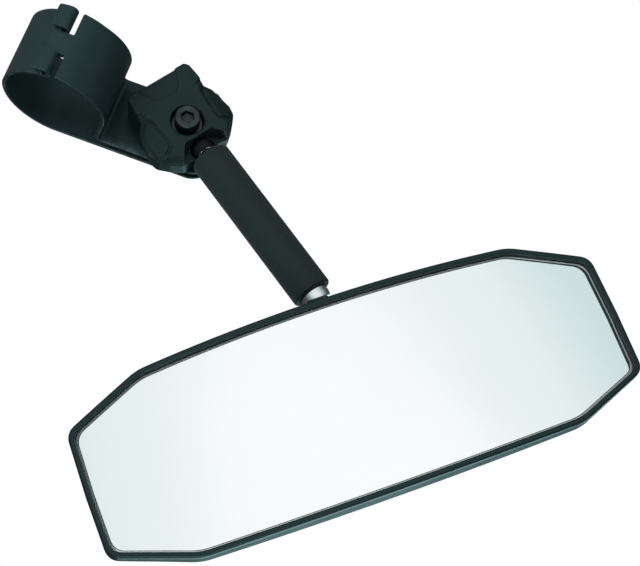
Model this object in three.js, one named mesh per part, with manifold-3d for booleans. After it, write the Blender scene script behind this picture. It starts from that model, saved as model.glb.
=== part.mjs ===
// Interior rearview mirror that straps to a round roll bar. Millimetres, +Z up.
// X runs along the bar's axis, the straps' tails hang down, and the clamp block faces -Y.
import * as THREE from 'three';
import { mergeVertices } from 'three/addons/utils/BufferGeometryUtils.js';
import Module from 'manifold-3d';

const wasm = await Module();
wasm.setup();

const GAP = 0.3;

// the two strap bands
const BAR_RADIUS = 25.4;
const STRAP_THICK = 1.8;
const BAND_WIDTH = 38.4;
const BAND_RADIUS = BAR_RADIUS + GAP + STRAP_THICK / 2;
const TAIL_END = -83.5;
const TAIL_CORNER = 12;
const REAR_TAIL_Y = 30.6;
const FRONT_TAIL_Y = 24.5;
const PINCH_RADIUS = 3;
const PINCH_Z = -25.6;

// the hook hinge that joins the bands at the front of the bar
const CURL_RADIUS = 2.8;
const CURL_ALONG = 4;
const CURL_LIP = 6;
const FINGER_INNER = 6.4;
const NOTCH_INNER = 6;
const NOTCH_LOW = -2.2;
const NOTCH_HIGH = 4.5;
const TONGUE_END = 3;
const TEE_END = 8.4;
const TEE_LIFT = 2.1;
const TEE_FLARE = 0.5;
const JOGGLE_START = THREE.MathUtils.degToRad(-35);

// M8 clamp bolt
const BOLT_Z = -65;
const BOLT_RADIUS = 4;
const HEAD_RADIUS = 6.5;
const HEAD_HEIGHT = 8;
const HEAD_TOP = 0.9;
const BOLT_END = 50;
const KEY_ACROSS_FLATS = 6;
const KEY_DEPTH = 4;
const WASHER_THICK = 1.6;
const WASHER_RADIUS = 8;
const NUT_ACROSS_FLATS = 13;
const NUT_HEIGHT = 6.2;
const INSERT_HEIGHT = 1.8;
const SLOT_TOP = 4.7;
const SLOT_BOTTOM = 10.6;

// clamp block, in its own turned frame: -Z points along the block towards the arm
const BLOCK_TURN = THREE.MathUtils.degToRad(34.5);
const BLOCK_FRONT = 5;
const BLOCK_BACK = FRONT_TAIL_Y - STRAP_THICK / 2 - GAP;
const BALL_Y = 13.2;
const BALL_DROP = 15;
const BLOCK_TOP = 28;
const BLOCK_TOP_HALF = 19;
const WING_HALF = 25;
const NOSE_DROP = 19;
const WING_FOLD = 15.5;
const WING_EDGE_Y = 11;
const GROOVE_DEPTH = 1.5;
const COUNTERBORE_RADIUS = 8.5;
const COUNTERBORE_DEPTH = 5.5;
const DOWEL_RADIUS = 1.5;
const DOWEL_X = 12.5;
const DOWEL_Z = 17;

// arm
const UPPER_BALL = 5;
const LINER_THICK = 0.7;
const NECK_RADIUS = 2.4;
const SLEEVE_RADIUS = 10.4;
const SLEEVE_BORE = 7.7;
const SLEEVE_START = 4.4;
const SLEEVE_ROUND = 3.2;
const TUBE_OUTER = 7.4;
const TUBE_INNER = 6.2;
const LOWER_BALL = 5.1;
const STUD_RADIUS = 3;
const SEGMENTS = 20;

// mirror head, in its own frame: X along the glass, Y up it, Z out of its face
const HALF_LENGTH = 136.3;
const HALF_HEIGHT = 48;
const EDGE_BOW = 2.5;
const CORNER_RUN = 40;
const CORNER_RISE = 16.2;
const FACE_RADIUS = 640;
const BACK_RADIUS = 1140;
const RIM_DEPTH = 15.5;
const BEZEL_DEPTH = 4.8;
const BEZEL_LIP = 3.3;
const WALL = 2.4;
const BACK_WALL = 1.6;
const GLASS_THICK = 2;
const GLASS_DROP = 4;
const NECK_UP = 59.4;
const NECK_BACK = -21;

// where the head hangs: the lower ball's centre, the glass's long direction and its facing
const LOWER_BALL_AT = new THREE.Vector3(-65.5, 9.1, -157.8);
const HEAD_LONG = new THREE.Vector3(0.638, -0.037, -0.769);
const HEAD_FACING = new THREE.Vector3(0.019, -0.998, 0.063);

// ---- helpers ----
function toSolid(geometry) {
  const bare = geometry.clone();
  bare.deleteAttribute('normal');
  bare.deleteAttribute('uv');
  const merged = mergeVertices(bare, 1e-4);
  const vertProperties = new Float32Array(merged.attributes.position.array);
  const triVerts = new Uint32Array(merged.index.array);
  return new wasm.Manifold(new wasm.Mesh({ numProp: 3, vertProperties, triVerts }));
}

function toGeometry(solid) {
  const mesh = solid.getMesh();
  const geometry = new THREE.BufferGeometry();
  geometry.setAttribute('position', new THREE.BufferAttribute(new Float32Array(mesh.vertProperties), 3));
  geometry.setIndex(new THREE.BufferAttribute(new Uint32Array(mesh.triVerts), 1));
  return geometry;
}

function part(name, solidOrGeometry, color, roughness, metalness) {
  const geometry = solidOrGeometry.isBufferGeometry ? solidOrGeometry : toGeometry(solidOrGeometry);
  geometry.computeVertexNormals();
  const mesh = new THREE.Mesh(geometry, new THREE.MeshStandardMaterial({ color, roughness, metalness }));
  mesh.name = name;
  return mesh;
}

// a flat outline given as [x, y] points
function outline(points) {
  return new THREE.Shape(points.map(([x, y]) => new THREE.Vector2(x, y)));
}

// extrudes a shape drawn in (Y, Z) along X, centred on x
function acrossBar(shape, width, x = 0) {
  const geometry = new THREE.ExtrudeGeometry(shape, { depth: width, bevelEnabled: false });
  const axes = new THREE.Matrix4().makeBasis(
    new THREE.Vector3(0, 1, 0), new THREE.Vector3(0, 0, 1), new THREE.Vector3(1, 0, 0));
  geometry.applyMatrix4(axes);
  geometry.translate(x - width / 2, 0, 0);
  return geometry;
}

// extrudes a shape drawn in (X, Z) from y0 to y1
function frontToBack(shape, y0, y1) {
  const geometry = new THREE.ExtrudeGeometry(shape, { depth: y1 - y0, bevelEnabled: false, curveSegments: 10 });
  geometry.rotateX(Math.PI / 2);
  geometry.translate(0, y1, 0);
  return geometry;
}

// a solid of revolution about the local Z axis: profile is [radius, z] points, either way round
function turned(profile, segments = SEGMENTS) {
  const points = profile.map(([r, z]) => new THREE.Vector2(r, z));
  if (THREE.ShapeUtils.area(points) < 0) {
    points.reverse();
  }
  const geometry = new THREE.LatheGeometry(points, segments);
  geometry.rotateX(Math.PI / 2);
  return geometry;
}

// points of an arc about (0, z) in a lathe profile; angles in degrees from +Z
function arcProfile(radius, z, from, to, steps) {
  const points = [];
  for (let i = 0; i <= steps; i += 1) {
    const angle = THREE.MathUtils.degToRad(from + (to - from) * i / steps);
    points.push([Math.max(0, radius * Math.sin(angle)), z + radius * Math.cos(angle)]);
  }
  return points;
}

// a round bar along Y
function roundBar(radius, y0, y1, segments = SEGMENTS) {
  const geometry = new THREE.CylinderGeometry(radius, radius, y1 - y0, segments);
  geometry.translate(0, (y0 + y1) / 2, 0);
  return geometry;
}

function hexBar(acrossFlats, y0, y1) {
  return roundBar(acrossFlats / Math.sqrt(3), y0, y1, 6);
}

function block(x0, x1, y0, y1, z0, z1) {
  const geometry = new THREE.BoxGeometry(x1 - x0, y1 - y0, z1 - z0);
  geometry.translate((x0 + x1) / 2, (y0 + y1) / 2, (z0 + z1) / 2);
  return geometry;
}

// ---- straps ----
// place on the loop: along is the distance round the loop from the frontmost point, up the bar
function onLoop(angle, radius) {
  return new THREE.Vector2(-radius * Math.cos(angle), radius * Math.sin(angle));
}

// closed outline of a sheet whose middle follows the given points
function ribbon(points, thickness) {
  const left = [];
  const right = [];
  points.forEach((point, i) => {
    const before = points[Math.max(0, i - 1)];
    const after = points[Math.min(points.length - 1, i + 1)];
    const along = after.clone().sub(before).normalize();
    const side = new THREE.Vector2(-along.y, along.x).multiplyScalar(thickness / 2);
    left.push(point.clone().add(side));
    right.unshift(point.clone().sub(side));
  });
  return new THREE.Shape([...left, ...right]);
}

function loopRun(fromAngle, toAngle, radiusAt, steps) {
  const points = [];
  for (let i = 0; i <= steps; i += 1) {
    const angle = fromAngle + (toAngle - fromAngle) * i / steps;
    points.push(onLoop(angle, radiusAt(angle)));
  }
  return points;
}

const HOOK_RADIUS = BAND_RADIUS + CURL_RADIUS;
const HOOK_ANGLE = CURL_ALONG / HOOK_RADIUS;

// the rear band stands off the back of the bar until the bolt draws the tails together
function rearBand(endAngle) {
  const loop = loopRun(Math.PI, endAngle, () => BAND_RADIUS, 24);
  loop.forEach((point) => {
    if (point.x > 0) {
      point.x *= REAR_TAIL_Y / BAND_RADIUS;
    }
  });
  return [new THREE.Vector2(REAR_TAIL_Y, TAIL_END), new THREE.Vector2(REAR_TAIL_Y, TAIL_END / 2), ...loop];
}

function hookCurl() {
  const centre = onLoop(HOOK_ANGLE, HOOK_RADIUS);
  const outward = centre.clone().normalize();
  const along = new THREE.Vector2(outward.y, -outward.x);
  const points = [];
  for (let i = 1; i <= 8; i += 1) {
    const turn = Math.PI * i / 8;
    const radial = outward.clone().multiplyScalar(-CURL_RADIUS * Math.cos(turn));
    const back = along.clone().multiplyScalar(-CURL_RADIUS * Math.sin(turn));
    points.push(centre.clone().add(radial).add(back));
  }
  const lipRadius = HOOK_RADIUS + CURL_RADIUS;
  const lip = loopRun(HOOK_ANGLE, HOOK_ANGLE + CURL_LIP / lipRadius, () => lipRadius, 4);
  return [...points, ...lip.slice(1)];
}

function tailShape(slotTop, slotBottom) {
  const half = BAND_WIDTH / 2;
  const shape = new THREE.Shape();
  shape.moveTo(-half, 60);
  shape.lineTo(-half, TAIL_END + TAIL_CORNER);
  shape.absarc(-half + TAIL_CORNER, TAIL_END + TAIL_CORNER, TAIL_CORNER, Math.PI, 1.5 * Math.PI, false);
  shape.absarc(half - TAIL_CORNER, TAIL_END + TAIL_CORNER, TAIL_CORNER, 1.5 * Math.PI, 2 * Math.PI, false);
  shape.lineTo(half, 60);
  const hole = new THREE.Path();
  const radius = BOLT_RADIUS + 0.5;
  hole.absarc(0, BOLT_Z + slotTop - radius, radius, 0, Math.PI, false);
  hole.absarc(0, BOLT_Z - slotBottom + radius, radius, Math.PI, 2 * Math.PI, false);
  shape.holes.push(hole);
  return shape;
}

function rearStrap() {
  const side = (BAND_WIDTH / 2 + FINGER_INNER) / 2;
  const fingerWidth = BAND_WIDTH / 2 - FINGER_INNER;
  const finger = ribbon([...rearBand(HOOK_ANGLE), ...hookCurl()], STRAP_THICK);
  const tongue = ribbon(rearBand(TONGUE_END / HOOK_RADIUS), STRAP_THICK);
  const strap = toSolid(acrossBar(tongue, 2 * FINGER_INNER + 0.2))
    .add(toSolid(acrossBar(finger, fingerWidth, side)))
    .add(toSolid(acrossBar(finger, fingerWidth, -side)));
  const trim = toSolid(frontToBack(tailShape(SLOT_TOP, SLOT_BOTTOM), -60, 60));
  return part('rear_strap', strap.intersect(trim), 0x1f2a2b, 0.45, 0.3);
}

function frontRadius(angle) {
  const teeStart = NOTCH_HIGH / HOOK_RADIUS;
  const rise = THREE.MathUtils.smoothstep(angle, JOGGLE_START, 0) * TEE_LIFT;
  const flare = THREE.MathUtils.clamp((angle - teeStart) * HOOK_RADIUS / (TEE_END - NOTCH_HIGH), 0, 1);
  return BAND_RADIUS + rise + flare * TEE_FLARE;
}

function frontStrap() {
  // the band leaves the bar on a straight run that touches both the loop and the pinch bend
  const bendY = FRONT_TAIL_Y - PINCH_RADIUS;
  const spread = Math.acos((BAND_RADIUS + PINCH_RADIUS) / Math.hypot(bendY, PINCH_Z));
  const leaving = Math.atan2(PINCH_Z, bendY) - spread;
  const points = loopRun(TEE_END / HOOK_RADIUS, -Math.PI - leaving, frontRadius, 26);
  const entry = Math.PI + leaving;
  for (let i = 0; i <= 6; i += 1) {
    const angle = entry * (1 - i / 6);
    const offset = new THREE.Vector2(Math.cos(angle), Math.sin(angle)).multiplyScalar(PINCH_RADIUS);
    points.push(offset.add(new THREE.Vector2(bendY, PINCH_Z)));
  }
  points.push(new THREE.Vector2(FRONT_TAIL_Y, TAIL_END));
  let strap = toSolid(acrossBar(ribbon(points, STRAP_THICK), BAND_WIDTH));
  const notchDepth = BAND_WIDTH / 2 - NOTCH_INNER + 1;
  for (const sign of [-1, 1]) {
    const x = sign * (NOTCH_INNER + notchDepth / 2);
    strap = strap.subtract(toSolid(acrossBar(outline([
      [-40, NOTCH_LOW], [-20, NOTCH_LOW], [-20, NOTCH_HIGH], [-40, NOTCH_HIGH],
    ]), notchDepth, x)));
  }
  const trim = toSolid(frontToBack(tailShape(BOLT_RADIUS + 0.5, BOLT_RADIUS + 0.5), -60, 60));
  return part('front_strap', strap.intersect(trim), 0x1f2a2b, 0.45, 0.3);
}

// ---- clamp bolt, washers and nut (along Y, at the origin of the bolt's group) ----
function clampBolt() {
  const headBottom = HEAD_TOP + HEAD_HEIGHT;
  const profile = [
    [0, -HEAD_TOP], [HEAD_RADIUS - 0.6, -HEAD_TOP], [HEAD_RADIUS, -HEAD_TOP - 0.6], [HEAD_RADIUS, -headBottom],
    [BOLT_RADIUS, -headBottom], [BOLT_RADIUS, -BOLT_END + 1], [BOLT_RADIUS - 1, -BOLT_END], [0, -BOLT_END],
  ];
  const shank = turned(profile);
  shank.rotateX(Math.PI / 2);
  const key = toSolid(hexBar(KEY_ACROSS_FLATS, HEAD_TOP - 1, HEAD_TOP + KEY_DEPTH));
  return part('clamp_bolt', toSolid(shank).subtract(key), 0x50585a, 0.35, 0.9);
}

function ring(name, outer, inner, y0, y1, color, roughness, metalness) {
  const hole = toSolid(roundBar(inner, y0 - 1, y1 + 1));
  return part(name, toSolid(roundBar(outer, y0, y1)).subtract(hole), color, roughness, metalness);
}

function lockNut(y0) {
  const hole = toSolid(roundBar(BOLT_RADIUS + GAP, y0 - 1, y0 + NUT_HEIGHT + 1));
  return part('lock_nut', toSolid(hexBar(NUT_ACROSS_FLATS, y0, y0 + NUT_HEIGHT)).subtract(hole), 0x6a7072, 0.4, 0.9);
}

// ---- clamp block (local frame: bolt axis at the origin, -Z towards the arm) ----
function blockOutline() {
  const t = BLOCK_TOP_HALF;
  return outline([
    [-t + 2, BLOCK_TOP], [t - 2, BLOCK_TOP], [t, BLOCK_TOP - 2.2], [t + 0.5, 15.5], [t + 0.3, 13.5],
    [WING_HALF - 2.4, 10], [WING_HALF, -3], [WING_HALF - 1.2, -8], [19, -12.8], [13.5, -17],
    [7.5, -NOSE_DROP], [-7.5, -NOSE_DROP], [-13.5, -17], [-19, -12.8], [-WING_HALF + 1.2, -8],
    [-WING_HALF, -3], [-WING_HALF + 2.4, 10], [-t - 0.3, 13.5], [-t - 0.5, 15.5], [-t, BLOCK_TOP - 2.2],
  ]);
}

// the room the arm sweeps through, and the pocket for its ball
function swingRoom() {
  const cone = turned([
    ...arcProfile(UPPER_BALL + LINER_THICK + 0.5, 0, 180, 118, 6),
    ...arcProfile(8, 0, 118, 98, 4), ...arcProfile(34, 0, 98, 180, 6),
  ]);
  cone.translate(0, BALL_Y, -BALL_DROP);
  const pocket = turned(arcProfile(UPPER_BALL + LINER_THICK + 2 * GAP, 0, 180, 0, 14));
  pocket.translate(0, BALL_Y, -BALL_DROP);
  return toSolid(cone).add(toSolid(pocket));
}

function dowelHoles(y0, y1) {
  let holes = null;
  for (const sign of [-1, 1]) {
    const hole = roundBar(DOWEL_RADIUS + GAP, y0, y1, 12);
    hole.translate(sign * DOWEL_X, 0, DOWEL_Z);
    holes = holes ? holes.add(toSolid(hole)) : toSolid(hole);
  }
  return holes;
}

// a tool that slices off everything in front of a sloping face
function slopeCut(fromX, fromY, toX, toY, sign) {
  const run = [toX - fromX, toY - fromY];
  const lengthOf = Math.hypot(...run);
  const [dx, dy] = [run[0] / lengthOf, run[1] / lengthOf];
  const a = [fromX - dx * 20, fromY - dy * 20];
  const b = [toX + dx * 20, toY + dy * 20];
  const shape = outline([a, b, [b[0] + dy * 40, b[1] - dx * 40], [a[0] + dy * 40, a[1] - dx * 40]]);
  const geometry = new THREE.ExtrudeGeometry(shape, { depth: 38, bevelEnabled: false });
  geometry.translate(0, 0, -22);
  const solid = toSolid(geometry);
  return sign > 0 ? solid : solid.mirror([1, 0, 0]);
}

function blockFront() {
  const y1 = BALL_Y - GAP / 2;
  let body = toSolid(frontToBack(blockOutline(), BLOCK_FRONT, y1));
  for (const sign of [-1, 1]) {
    body = body.subtract(slopeCut(WING_FOLD, BLOCK_FRONT, WING_HALF, WING_EDGE_Y, sign));
    const floor = slopeCut(WING_FOLD, BLOCK_FRONT + GROOVE_DEPTH, WING_HALF, WING_EDGE_Y + GROOVE_DEPTH, sign);
    const pocket = frontToBack(outline([
      [19.5 * sign, 14], [15.2 * sign, 10.5], [13.6 * sign, -5.5], [14.4 * sign, -8.2],
      [20 * sign, -11.2], [27 * sign, -9], [27 * sign, 8],
    ]), 0, y1);
    const island = frontToBack(outline([
      [18.6 * sign, 10.6], [16.7 * sign, 8.8], [15.5 * sign, -4.8], [16.4 * sign, -6.9],
      [19.8 * sign, -8.9], [23.2 * sign, -7.2], [23.4 * sign, 5.6],
    ]), -1, y1 + 1);
    body = body.subtract(toSolid(pocket).intersect(floor).subtract(toSolid(island)));
  }
  const recess = frontToBack(outline([
    [-11.6, BLOCK_TOP + 4], [11.6, BLOCK_TOP + 4], [11.2, BLOCK_TOP - 2], [8.4, BLOCK_TOP - 8],
    [5.2, BLOCK_TOP - 11.2], [-5.2, BLOCK_TOP - 11.2], [-8.4, BLOCK_TOP - 8], [-11.2, BLOCK_TOP - 2],
  ]), BLOCK_FRONT - 2, BLOCK_FRONT + 1.6);
  const scoop = turned([[0, -30], [30, -30], [9.5, 3.2], [0, 3.2]]);
  scoop.rotateX(THREE.MathUtils.degToRad(32));
  scoop.translate(0, BLOCK_FRONT - 2.5, -BALL_DROP - 0.5);
  const counterbore = roundBar(COUNTERBORE_RADIUS, 0, BLOCK_FRONT + COUNTERBORE_DEPTH);
  const boltHole = roundBar(BOLT_RADIUS + GAP, 0, 30);
  body = body.subtract(toSolid(recess)).subtract(toSolid(scoop)).subtract(toSolid(counterbore));
  body = body.subtract(toSolid(boltHole)).subtract(swingRoom()).subtract(dowelHoles(9.4, 20));
  return part('block_front', body, 0x222d2e, 0.5, 0.1);
}

function blockBack() {
  const y0 = BALL_Y + GAP / 2;
  const body = toSolid(frontToBack(blockOutline(), y0, BLOCK_BACK))
    .subtract(toSolid(roundBar(BOLT_RADIUS + GAP, 0, 30)))
    .subtract(swingRoom())
    .subtract(dowelHoles(y0 - 1, y0 + 4));
  return part('block_back', body, 0x222d2e, 0.5, 0.1);
}

function dowel(sign) {
  const pin = roundBar(DOWEL_RADIUS, 9.7, BALL_Y + 3.8, 12);
  pin.translate(sign * DOWEL_X, 0, DOWEL_Z);
  return part(sign < 0 ? 'dowel_left' : 'dowel_right', pin, 0x8a8f90, 0.4, 0.9);
}

// ---- arm (local frame: upper ball at the origin, -Z towards the lower ball) ----
// a thin nylon shell round a ball, open towards the neck by the given half angle
function liner(name, ballRadius, openHalfAngle, up) {
  const inner = ballRadius + 0.2;
  const outer = inner + LINER_THICK;
  const close = 180 - openHalfAngle;
  const shell = turned([
    ...arcProfile(outer, 0, close, 0, 7), ...arcProfile(inner, 0, 0, close, 7),
    arcProfile(outer, 0, close, close, 1)[0],
  ]);
  if (up) {
    shell.rotateX(Math.PI);
  }
  return part(name, shell, 0xd8d8d0, 0.5, 0);
}

function upperBallStud() {
  const stud = turned([
    ...arcProfile(UPPER_BALL, 0, 0, 150, 9), [NECK_RADIUS, -UPPER_BALL + 0.3], [NECK_RADIUS, -9],
    [STUD_RADIUS, -9.6], [STUD_RADIUS, -24], [0, -24],
  ]);
  return part('upper_ball_stud', stud, 0x9aa0a2, 0.3, 0.9);
}

function tubePlug() {
  const plug = turned([
    [STUD_RADIUS + GAP, -10], [TUBE_INNER - GAP, -10], [TUBE_INNER - GAP, -26], [STUD_RADIUS + GAP, -26],
    [STUD_RADIUS + GAP, -10],
  ]);
  return part('tube_plug', plug, 0x8a8f90, 0.4, 0.9);
}

// the tube ends in a rolled lip that keeps the lower ball in
function armTube(length) {
  const lipInner = LOWER_BALL + 0.2 + LINER_THICK + GAP;
  const tube = turned([
    [TUBE_INNER, -9.6], [TUBE_OUTER, -9.6], [TUBE_OUTER, -length + 1],
    ...arcProfile(TUBE_OUTER, -length, 92, 120, 3), ...arcProfile(lipInner, -length, 122, 90, 4),
    [TUBE_INNER, -length + 1.5], [TUBE_INNER, -9.6],
  ]);
  return part('arm_tube', tube, 0xb8bcbc, 0.2, 1);
}

function armSleeve(length) {
  const end = -length + 2.4;
  const top = -SLEEVE_START;
  const sleeve = turned([
    [SLEEVE_BORE, top], [SLEEVE_RADIUS - 0.5 * SLEEVE_ROUND, top - 0.13 * SLEEVE_ROUND],
    [SLEEVE_RADIUS - 0.13 * SLEEVE_ROUND, top - 0.5 * SLEEVE_ROUND], [SLEEVE_RADIUS, top - SLEEVE_ROUND],
    [SLEEVE_RADIUS, end + 2.6], [SLEEVE_RADIUS - 0.6, end + 1], [SLEEVE_RADIUS - 1.6, end], [SLEEVE_BORE, end],
    [SLEEVE_BORE, top],
  ]);
  return part('arm_sleeve', sleeve, 0x2b3636, 0.85, 0);
}

function lowerSeat(length) {
  const cup = LOWER_BALL + 0.2 + LINER_THICK + GAP;
  const seat = turned([
    [0, -length + 11], [TUBE_INNER - GAP, -length + 11], [TUBE_INNER - GAP, -length + 3.2],
    ...arcProfile(cup, -length, 60, 0, 4),
  ]);
  return part('lower_seat', seat, 0x8a8f90, 0.4, 0.8);
}

function seatSpring(length) {
  const top = -26.6;
  const bottom = -length + 11.6;
  const coils = 7;
  const radius = 4.3;
  class Helix extends THREE.Curve {
    getPoint(t, target = new THREE.Vector3()) {
      const turn = t * coils * 2 * Math.PI;
      return target.set(radius * Math.cos(turn), radius * Math.sin(turn), top - 0.8 + t * (bottom - top + 1.6));
    }
  }
  const wire = new THREE.Shape();
  wire.absarc(0, 0, 0.65, 0, 2 * Math.PI, false);
  const geometry = new THREE.ExtrudeGeometry(wire, {
    steps: 84, curveSegments: 3, bevelEnabled: false, extrudePath: new Helix(),
  });
  return part('seat_spring', geometry, 0x9aa0a2, 0.35, 0.9);
}

// ---- mirror head (local frame: X along the glass, Y up it, Z out of its face) ----
function headShape(inset) {
  const scale = Math.hypot(CORNER_RUN, CORNER_RISE);
  const endX = HALF_LENGTH - inset;
  const topY = HALF_HEIGHT - inset;
  const across = [CORNER_RISE / scale, CORNER_RUN / scale];
  const reach = across[0] * HALF_LENGTH + across[1] * (HALF_HEIGHT - CORNER_RISE) - inset;
  const cornerX = (reach - across[1] * topY) / across[0];
  const cornerY = (reach - across[0] * endX) / across[1];
  const round = 5;
  const quarter = [];
  const bowSteps = 5;
  for (let i = 0; i <= bowSteps; i += 1) {
    const x = (cornerX - round) * i / bowSteps;
    quarter.push([x, topY + EDGE_BOW * (1 - (x / cornerX) ** 2)]);
  }
  const arc = new THREE.QuadraticBezierCurve(
    new THREE.Vector2(...quarter[bowSteps]), new THREE.Vector2(cornerX, topY),
    new THREE.Vector2(cornerX + round * across[1], topY - round * across[0]));
  arc.getPoints(3).slice(1).forEach((p) => quarter.push([p.x, p.y]));
  const side = new THREE.QuadraticBezierCurve(
    new THREE.Vector2(endX - round * across[1], cornerY + round * across[0]), new THREE.Vector2(endX, cornerY),
    new THREE.Vector2(endX + 0.3, cornerY - round));
  side.getPoints(3).forEach((p) => quarter.push([p.x, p.y]));
  quarter.push([endX + 0.8, 0]);
  const right = [...quarter, ...quarter.slice(0, -1).reverse().map(([x, y]) => [x, -y])];
  const left = right.slice(1, -1).reverse().map(([x, y]) => [-x, y]);
  return outline([...right, ...left].reverse());
}

// a slab between two curved faces, each bent about the Y axis
function bentSlab(front, frontRadiusOfBend, back, backRadiusOfBend) {
  const reach = HALF_LENGTH + 4;
  const steps = 18;
  const points = [];
  for (let i = 0; i <= steps; i += 1) {
    const x = -reach + 2 * reach * i / steps;
    points.push([x, back - x * x / (2 * backRadiusOfBend)]);
  }
  for (let i = steps; i >= 0; i -= 1) {
    const x = -reach + 2 * reach * i / steps;
    points.push([x, front - x * x / (2 * frontRadiusOfBend)]);
  }
  const geometry = new THREE.ExtrudeGeometry(outline(points), { depth: 140, bevelEnabled: false });
  geometry.translate(0, 0, -70);
  geometry.rotateX(Math.PI / 2);
  return toSolid(geometry);
}

function outlineSolid(inset) {
  const geometry = new THREE.ExtrudeGeometry(headShape(inset), { depth: 80, bevelEnabled: false });
  geometry.translate(0, 0, -60);
  return toSolid(geometry);
}

function bezel() {
  const body = bentSlab(0, FACE_RADIUS, -BEZEL_DEPTH, FACE_RADIUS).intersect(outlineSolid(0));
  const rebate = bentSlab(-GLASS_DROP + GAP, FACE_RADIUS, -20, FACE_RADIUS).intersect(outlineSolid(2.2));
  return part('bezel', body.subtract(outlineSolid(BEZEL_LIP)).subtract(rebate), 0x1f2a2b, 0.35, 0.1);
}

function mirrorGlass() {
  const glass = bentSlab(-GLASS_DROP, FACE_RADIUS, -GLASS_DROP - GLASS_THICK, FACE_RADIUS);
  return part('mirror_glass', glass.intersect(outlineSolid(2.2 + GAP)), 0xf2f6f6, 0.03, 1);
}

function glassBacking() {
  const front = -GLASS_DROP - GLASS_THICK - GAP;
  const pad = bentSlab(front, FACE_RADIUS, front - 1.4, FACE_RADIUS);
  return part('glass_backing', pad.intersect(outlineSolid(WALL + 2)), 0x2a2c2c, 0.9, 0);
}

function screwPlaces() {
  return [[-19, 12], [19, 12], [-19, 38], [19, 38]];
}

function screwHoles(radius, z0, z1) {
  let holes = null;
  for (const [x, y] of screwPlaces()) {
    const hole = turned([[0, z0], [radius, z0], [radius, z1], [0, z1]], 12);
    hole.translate(x, y, 0);
    holes = holes ? holes.add(toSolid(hole)) : toSolid(hole);
  }
  return holes;
}

function housing() {
  const body = bentSlab(-BEZEL_DEPTH - GAP, FACE_RADIUS, -RIM_DEPTH, BACK_RADIUS).intersect(outlineSolid(0.2));
  const room = bentSlab(10, FACE_RADIUS, -RIM_DEPTH + BACK_WALL, BACK_RADIUS).intersect(outlineSolid(WALL));
  const pad = toSolid(block(-24, 24, 6, 44, -RIM_DEPTH - 0.9, -RIM_DEPTH + 1));
  return part('housing', body.subtract(room).add(pad).subtract(screwHoles(1.9, -30, -2)), 0x1f2a2b, 0.5, 0.1);
}

// the bracket stands on the pad at the housing's back and holds the lower ball's stud
const PAD_FACE = -RIM_DEPTH - 0.9;

function bracket() {
  const plate = toSolid(block(-24, 24, 6, 44, PAD_FACE - GAP - 2.2, PAD_FACE - GAP));
  const boss = toSolid(block(-8, 8, 22, 46, NECK_BACK - 7, PAD_FACE - GAP - 0.2));
  const bore = turned([[0, 24], [STUD_RADIUS + GAP, 24], [STUD_RADIUS + GAP, 60], [0, 60]], 20);
  bore.rotateX(-Math.PI / 2);
  bore.translate(0, 0, NECK_BACK);
  const body = plate.add(boss).subtract(toSolid(bore)).subtract(screwHoles(2.1, -30, -2));
  return part('mirror_bracket', body, 0x2a3232, 0.45, 0.6);
}

function bracketScrew(index) {
  const [x, y] = screwPlaces()[index];
  const seat = PAD_FACE - GAP - 2.2 - GAP;
  const screw = turned([
    [0, seat - 2.2], [2.2, seat - 2.2], [3.5, seat - 1.2], [3.5, seat], [1.6, seat], [1.6, -10.4], [0, -10.4],
  ], 16);
  screw.translate(x, y, 0);
  return part(`bracket_screw_${index + 1}`, screw, 0x8a8f90, 0.35, 0.9);
}

// ball stud that drops from the arm's end into the bracket, drawn with its ball at the origin
function lowerBallStud() {
  const stud = turned([
    ...arcProfile(LOWER_BALL, 0, 0, 150, 9), [NECK_RADIUS, -LOWER_BALL + 0.4], [NECK_RADIUS, -11],
    [STUD_RADIUS, -11.6], [STUD_RADIUS, -34], [0, -34],
  ]);
  return part('lower_ball_stud', stud, 0xb8bcbc, 0.2, 1);
}

function jamNut() {
  const top = 46 + GAP + 2.4 - NECK_UP;
  const body = new THREE.CylinderGeometry(10 / Math.sqrt(3), 10 / Math.sqrt(3), 2.4, 6);
  body.rotateY(Math.PI / 6);
  body.rotateX(Math.PI / 2);
  body.translate(0, 0, top - 1.2);
  const hole = turned([[0, top - 4], [STUD_RADIUS + GAP, top - 4], [STUD_RADIUS + GAP, top + 2], [0, top + 2]], 20);
  return part('jam_nut', toSolid(body).subtract(toSolid(hole)), 0x8a8f90, 0.35, 0.9);
}

// ---- assembly ----
const mirror = new THREE.Group();
mirror.add(frontStrap(), rearStrap());

const boltGroup = new THREE.Group();
boltGroup.position.set(0, 0, BOLT_Z);
const washerY = HEAD_TOP + HEAD_HEIGHT;
const strapBack = REAR_TAIL_Y + STRAP_THICK / 2 + GAP;
const nutY = strapBack + WASHER_THICK + GAP;
boltGroup.add(
  clampBolt(),
  ring('head_washer', WASHER_RADIUS, BOLT_RADIUS + GAP, washerY + 0.1, washerY + WASHER_THICK - 0.2, 0x8a8f90, 0.4, 0.9),
  ring('nut_washer', WASHER_RADIUS, BOLT_RADIUS + GAP, strapBack, strapBack + WASHER_THICK, 0x8a8f90, 0.4, 0.9),
  lockNut(nutY),
  ring('nut_insert', 5.6, BOLT_RADIUS + GAP, nutY + NUT_HEIGHT + 0.2, nutY + NUT_HEIGHT + INSERT_HEIGHT, 0x3b5fa0, 0.6, 0),
);
mirror.add(boltGroup);

const blockGroup = new THREE.Group();
blockGroup.position.set(0, 0, BOLT_Z);
blockGroup.rotation.y = BLOCK_TURN;
blockGroup.add(blockFront(), blockBack(), dowel(-1), dowel(1));
mirror.add(blockGroup);

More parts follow.
